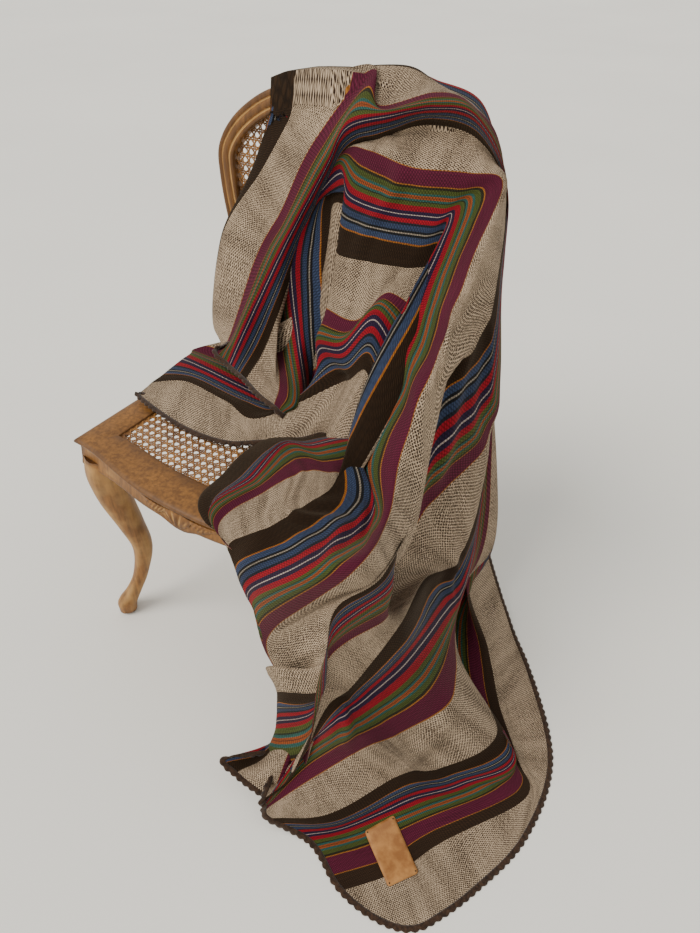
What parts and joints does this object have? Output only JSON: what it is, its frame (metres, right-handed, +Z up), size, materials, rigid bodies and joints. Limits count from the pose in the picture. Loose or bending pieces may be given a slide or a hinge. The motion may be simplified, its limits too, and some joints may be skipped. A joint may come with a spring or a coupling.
{
  "type": "striped wool throw draped over a cane chair",
  "caption": "Striped alpaca throw with a dark crocheted edging and a leather label, draped over the back and seat of a small cane chair and trailing onto the floor.",
  "frame": {"origin": "centre of the bounding box on the floor", "axes": "+Z up, -Y towards the chair's front, +X towards the side of the chair where the throw hangs to the floor"},
  "size_m": [0.9012, 0.7372, 0.9812],
  "materials": {
    "throw_cloth": "woven, matt",
    "edging_yarn": "crocheted yarn, matt",
    "label_leather": "matt",
    "rivet_brass": "darkened",
    "chair_wood": "waxed, worn",
    "cane": "satin",
    "glide_plastic": "moulded"
  },
  "bodies": {
    "root": {"throw": "throw_cloth", "edging_back_hem": "edging_yarn", "edging_front_hem": "edging_yarn", "edging_first_end": "edging_yarn", "label": "label_leather", "label_rivet_1": "rivet_brass", "label_rivet_2": "rivet_brass", "label_rivet_3": "rivet_brass", "label_rivet_4": "rivet_brass", "seat_rail_front": "chair_wood", "seat_rail_left": "chair_wood", "seat_rail_right": "chair_wood", "seat_rail_back": "chair_wood", "leg_front_left": "chair_wood", "leg_front_right": "chair_wood", "leg_back_left": "chair_wood", "leg_back_right": "chair_wood", "back_crest": "chair_wood", "back_rail_left": "chair_wood", "back_rail_right": "chair_wood", "back_rail_bottom": "chair_wood", "back_post_left": "chair_wood", "back_post_right": "chair_wood", "cane_seat": "cane", "cane_back": "cane", "glide_front_left": "glide_plastic", "glide_front_right": "glide_plastic", "glide_back_left": "glide_plastic", "glide_back_right": "glide_plastic"}
  },
  "joints": []
}
